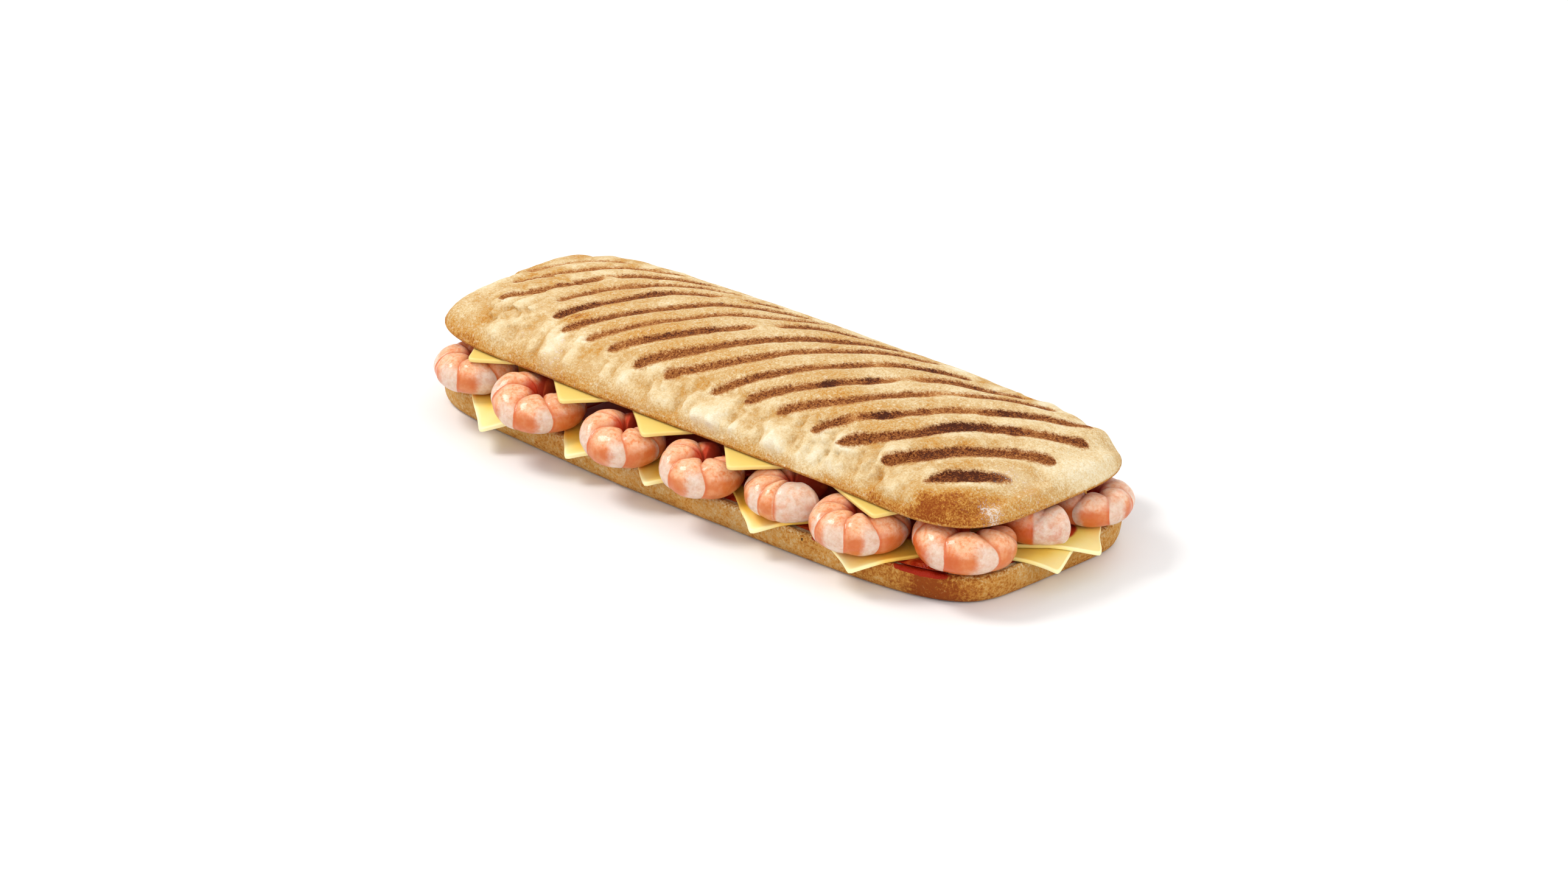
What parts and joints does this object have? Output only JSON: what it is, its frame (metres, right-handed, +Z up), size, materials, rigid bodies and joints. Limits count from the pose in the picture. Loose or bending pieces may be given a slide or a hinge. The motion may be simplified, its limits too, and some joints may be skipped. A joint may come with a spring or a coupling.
{
  "type": "panini",
  "caption": "Long pressed panini with diagonal grill marks, filled with curled prawns, cheese slices and tomato sauce.",
  "frame": {"origin": "middle of the flat underside of the lower half of the roll", "axes": "+X along the roll, -Y towards the long side that the picture shows, +Z up"},
  "size_m": [0.2609, 0.1203, 0.0453],
  "materials": {
    "crust": "matte golden-tan baked crust with brown grill marks and a dusting of flour",
    "tomato_sauce": "wet dark red tomato sauce",
    "cheese": "smooth satin pale yellow sliced cheese",
    "prawn": "moist cooked prawn, orange-pink with white bands"
  },
  "bodies": {
    "root": {"bread_base": "crust", "tomato_sauce": "tomato_sauce", "cheese_low_1": "cheese", "cheese_low_2": "cheese", "cheese_low_3": "cheese", "cheese_low_4": "cheese", "cheese_low_5": "cheese", "cheese_low_left": "cheese", "cheese_low_right": "cheese", "cheese_over_right": "cheese", "cheese_high_1": "cheese", "cheese_high_2": "cheese", "cheese_high_3": "cheese", "cheese_high_4": "cheese", "cheese_high_5": "cheese", "prawn_front_1": "prawn", "prawn_front_2": "prawn", "prawn_front_3": "prawn", "prawn_front_4": "prawn", "prawn_front_5": "prawn", "prawn_front_6": "prawn", "prawn_front_7": "prawn", "prawn_back_1": "prawn", "prawn_back_2": "prawn", "prawn_back_3": "prawn", "prawn_back_4": "prawn", "prawn_back_5": "prawn", "prawn_back_6": "prawn", "prawn_right_1": "prawn", "prawn_right_2": "prawn", "prawn_left": "prawn", "bread_top": "crust"}
  },
  "joints": []
}
